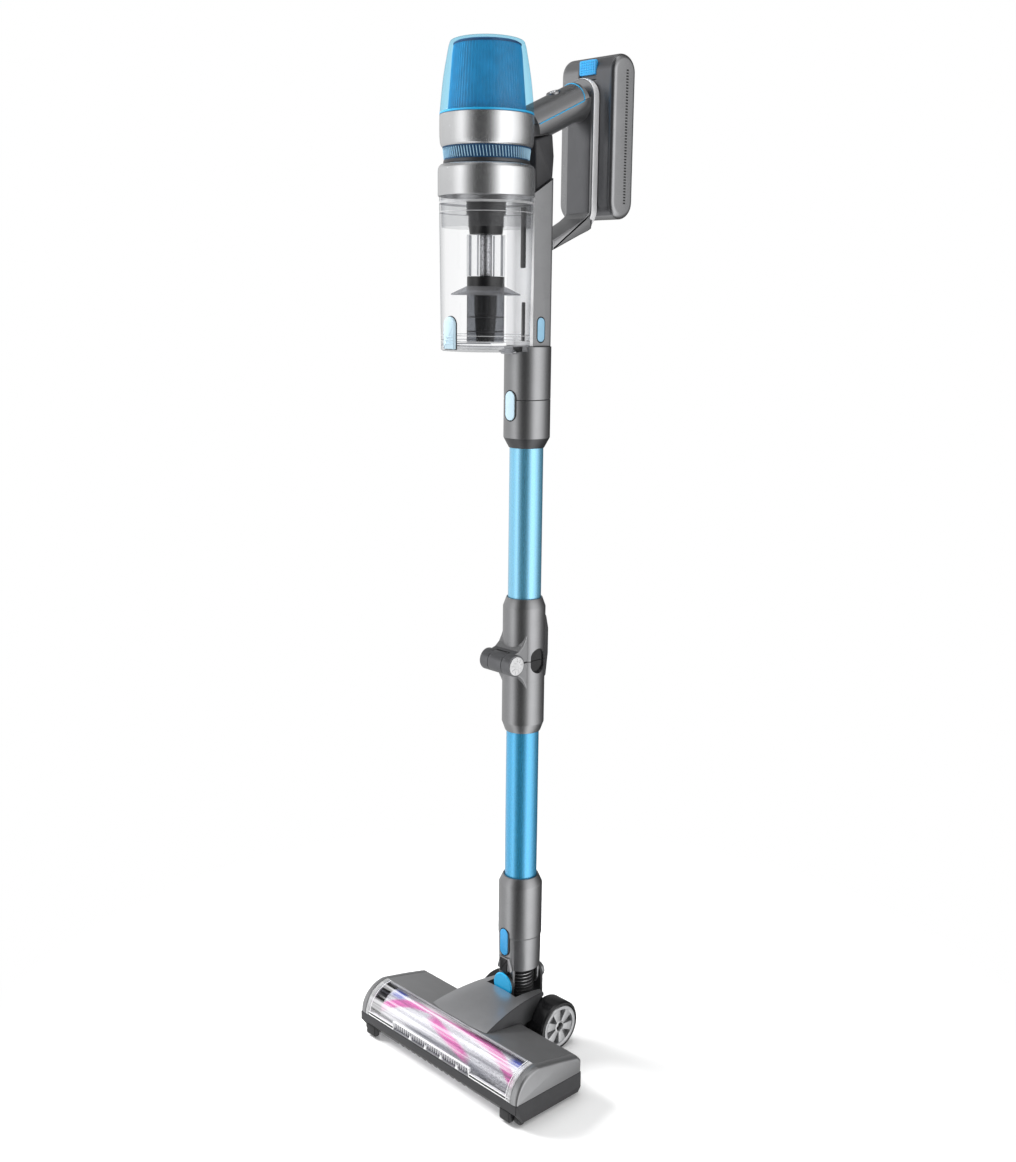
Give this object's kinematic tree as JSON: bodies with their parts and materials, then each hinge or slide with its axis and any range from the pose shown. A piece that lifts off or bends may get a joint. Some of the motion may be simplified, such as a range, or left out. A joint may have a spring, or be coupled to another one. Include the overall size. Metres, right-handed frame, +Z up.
{
  "type": "cordless stick vacuum",
  "caption": "Cordless stick vacuum standing upright: floor head with a clear brush window, folding wand, clear cyclone cup, slanted handle and rear battery.",
  "frame": {"origin": "on the floor, at the middle of the object's bounding box in X and Y", "axes": "+Z up along the wand, -Y towards the front of the floor head, +X the right side seen from the front"},
  "size_m": [0.254, 0.24, 1.06],
  "materials": {
    "light_grey": "satin moulded",
    "mid_grey": "satin metallic grey",
    "dark_grey": "matt moulded",
    "black": "semi-gloss",
    "silver": "satin silver paint",
    "steel": "turned",
    "blue_anodised": "blue anodised",
    "blue": "satin",
    "clear_blue": "tinted transparent",
    "clear": "transparent",
    "rubber": "matt",
    "plush": "plush pile",
    "filter_media": "pleated",
    "board": "circuit board",
    "copper": "motor can"
  },
  "bodies": {
    "floor_head": {"head_base": "dark_grey", "head_cover": "mid_grey", "duct_hump": "light_grey", "side_cap_left": "mid_grey", "side_cap_right": "mid_grey", "brush_window": "clear", "brush_motor": "steel", "drive_belt": "rubber", "head_board": "board", "wheel_axle": "steel"},
    "brush": {"roller_core": "black", "roller_sleeve": "plush"},
    "brush_drive": {"motor_pulley": "black"},
    "caster_left": {"front_caster_left": "dark_grey"},
    "caster_right": {"front_caster_right": "dark_grey"},
    "wheel_left": {"wheel_hub_left": "silver", "wheel_tyre_left": "rubber"},
    "wheel_right": {"wheel_hub_right": "silver", "wheel_tyre_right": "rubber"},
    "yoke": {"neck_yoke": "dark_grey", "pivot_cap_front": "blue", "pivot_cap_rear": "dark_grey", "bellows_hose": "rubber"},
    "lower_wand": {"neck_collar": "mid_grey", "lower_tube": "blue_anodised", "fold_lower": "mid_grey", "fold_pin": "steel"},
    "head_release": {"collar_button": "blue"},
    "upper_wand": {"fold_upper": "mid_grey", "upper_tube": "blue_anodised", "wand_coupling": "mid_grey", "inlet_nozzle": "mid_grey", "spine": "mid_grey", "rear_bridge": "black", "dust_cup": "clear", "lid_pin": "steel", "cyclone_head": "black", "mesh_stem": "dark_grey", "shroud_tube": "clear", "umbrella_skirt": "black", "collector_tube": "clear", "cup_collar": "silver", "vent_ring": "blue", "motor_collar": "silver", "suction_motor": "copper", "handle_frame": "mid_grey", "handle_panel": "mid_grey", "dock_plate": "silver"},
    "fold_release": {"fold_lever": "dark_grey"},
    "wand_release": {"coupling_button": "blue"},
    "cup_release": {"cup_button": "blue"},
    "lid": {"cup_lid": "clear"},
    "lid_release": {"lid_latch": "blue"},
    "fan": {"impeller": "dark_grey"},
    "filter": {"filter_cap": "clear_blue", "hepa_filter": "filter_media"},
    "power_switch": {"power_button": "blue"},
    "battery": {"battery_case": "mid_grey", "cell_pack": "blue"},
    "battery_release": {"battery_latch": "blue"}
  },
  "joints": [
    {"name": "brush_spin", "type": "hinge", "parent": "floor_head", "child": "brush", "pos_m": [0, -0.087, 0.0262], "axis": [1, 0, 0], "continuous": true},
    {"name": "motor_pulley_spin", "type": "hinge", "parent": "floor_head", "child": "brush_drive", "pos_m": [0, -0.0415, 0.0255], "axis": [1, 0, 0], "continuous": true},
    {"name": "caster_left_spin", "type": "hinge", "parent": "floor_head", "child": "caster_left", "pos_m": [-0.121, -0.1085, 0.00637], "axis": [1, 0, 0], "continuous": true},
    {"name": "caster_right_spin", "type": "hinge", "parent": "floor_head", "child": "caster_right", "pos_m": [0.121, -0.1085, 0.00637], "axis": [1, 0, 0], "continuous": true},
    {"name": "wheel_left_spin", "type": "hinge", "parent": "floor_head", "child": "wheel_left", "pos_m": [-0.041, 0.0185, 0.02832], "axis": [1, 0, 0], "continuous": true},
    {"name": "wheel_right_spin", "type": "hinge", "parent": "floor_head", "child": "wheel_right", "pos_m": [0.041, 0.0185, 0.02832], "axis": [1, 0, 0], "continuous": true},
    {"name": "neck_pitch", "type": "hinge", "parent": "floor_head", "child": "yoke", "pos_m": [0, 0.0185, 0.02832], "axis": [-1, 0, 0], "range_deg": [0, 80]},
    {"name": "neck_roll", "type": "hinge", "parent": "yoke", "child": "lower_wand", "pos_m": [0, 0.0065, 0.0715], "axis": [0, 1, 0], "range_deg": [-45, 45], "deforming": ["bellows_hose"]},
    {"name": "head_release_push", "type": "slide", "parent": "lower_wand", "child": "head_release", "axis": [0, 1, 0], "range_m": [0, 0.0022], "stiffness_N_per_m": 600, "springref_m": -0.001},
    {"name": "wand_fold", "type": "hinge", "parent": "lower_wand", "child": "upper_wand", "pos_m": [0, -0.0255, 0.4445], "axis": [1, 0, 0], "range_deg": [0, 90]},
    {"name": "fold_lever_press", "type": "hinge", "parent": "upper_wand", "child": "fold_release", "pos_m": [0, 0.0311, 0.46], "axis": [1, 0, 0], "range_deg": [0, 6], "stiffness_Nm_per_rad": 2, "springref_deg": -1.15},
    {"name": "wand_release_push", "type": "slide", "parent": "upper_wand", "child": "wand_release", "axis": [0, 1, 0], "range_m": [0, 0.0022], "stiffness_N_per_m": 600, "springref_m": -0.001},
    {"name": "cup_release_push", "type": "slide", "parent": "upper_wand", "child": "cup_release", "axis": [-1, 0, 0], "range_m": [0, 0.0018], "stiffness_N_per_m": 600, "springref_m": -0.001},
    {"name": "cup_lid_open", "type": "hinge", "parent": "upper_wand", "child": "lid", "pos_m": [0, -0.022, 0.7664], "axis": [1, 0, 0], "range_deg": [0, 80]},
    {"name": "lid_latch_push", "type": "slide", "parent": "upper_wand", "child": "lid_release", "axis": [0, 0, -1], "range_m": [0, 0.004], "stiffness_N_per_m": 600, "springref_m": -0.001},
    {"name": "impeller_spin", "type": "hinge", "parent": "upper_wand", "child": "fan", "pos_m": [0, -0.0523, 0.922], "axis": [0, 0, 1], "continuous": true},
    {"name": "filter_cap_lift", "type": "slide", "parent": "upper_wand", "child": "filter", "axis": [0, 0, 1], "range_m": [0, 0.065]},
    {"name": "power_button_press", "type": "slide", "parent": "upper_wand", "child": "power_switch", "axis": [0, 0.4067, -0.9135], "range_m": [0, 0.0015], "stiffness_N_per_m": 600, "springref_m": -0.001},
    {"name": "battery_slide", "type": "slide", "parent": "upper_wand", "child": "battery", "axis": [0, 0, 1], "range_m": [0, 0.15]},
    {"name": "battery_latch_press", "type": "slide", "parent": "battery", "child": "battery_release", "axis": [0, 0, -1], "range_m": [0, 0.0025], "stiffness_N_per_m": 600, "springref_m": -0.001}
  ],
  "couplings": [
    {"joint": "motor_pulley_spin", "follows": "brush_spin", "ratio": 1.8103}
  ]
}
